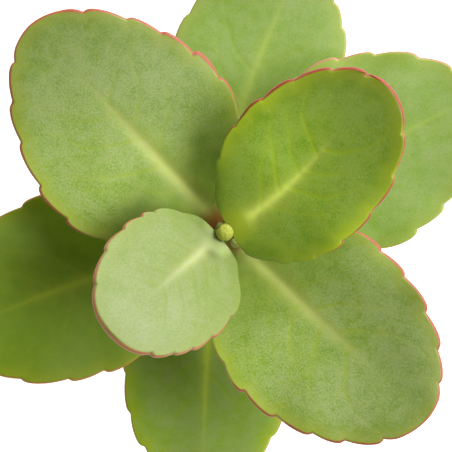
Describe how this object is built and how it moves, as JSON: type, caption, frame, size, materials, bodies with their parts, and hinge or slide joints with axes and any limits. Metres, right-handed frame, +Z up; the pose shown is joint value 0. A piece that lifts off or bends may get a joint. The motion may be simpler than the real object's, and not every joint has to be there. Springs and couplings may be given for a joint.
{
  "type": "potted stonecrop plant",
  "caption": "Upright succulent shoot with crossed pairs of round, fleshy, scalloped leaves, rooted in potting mix in a plain round clay pot.",
  "frame": {"origin": "middle of the pot's flat underside", "axes": "+Z up along the pot's axis; +X to the right and +Y to the back as seen from above, with the third pair's right leaf pointing to +X and a little +Y"},
  "size_m": [0.0989, 0.1024, 0.1213],
  "materials": {
    "clay": "unglazed, dry and finely grained, slightly paler along its edges",
    "potting_mix": "loose, crumbly and matt, with fine bark and grit",
    "root_skin": "matt, pale and fibrous",
    "stem_skin": "smooth, satin, green with a reddish flush where leaves join",
    "young_leaf": "pale green under a whitish bloom, soft satin, with a thin pinkish-brown rim",
    "grown_leaf": "green under a whitish bloom, soft satin, with a pale midrib and a thin red rim",
    "tip_leaf": "bright yellow-green, satin",
    "bud_skin": "pale green, satin"
  },
  "bodies": {
    "root": {"pot": "clay", "soil": "potting_mix", "roots": "root_skin", "stem": "stem_skin", "leaf_pair1_left": "young_leaf", "leaf_pair1_right": "grown_leaf", "leaf_pair2_left": "grown_leaf", "leaf_pair2_right": "grown_leaf", "leaf_pair3_left": "grown_leaf", "leaf_pair3_right": "grown_leaf", "leaf_pair4_back": "grown_leaf", "leaf_pair4_front": "grown_leaf", "tip_leaf_inner": "tip_leaf", "tip_leaf_outer": "tip_leaf", "axil_bud": "bud_skin"}
  },
  "joints": []
}
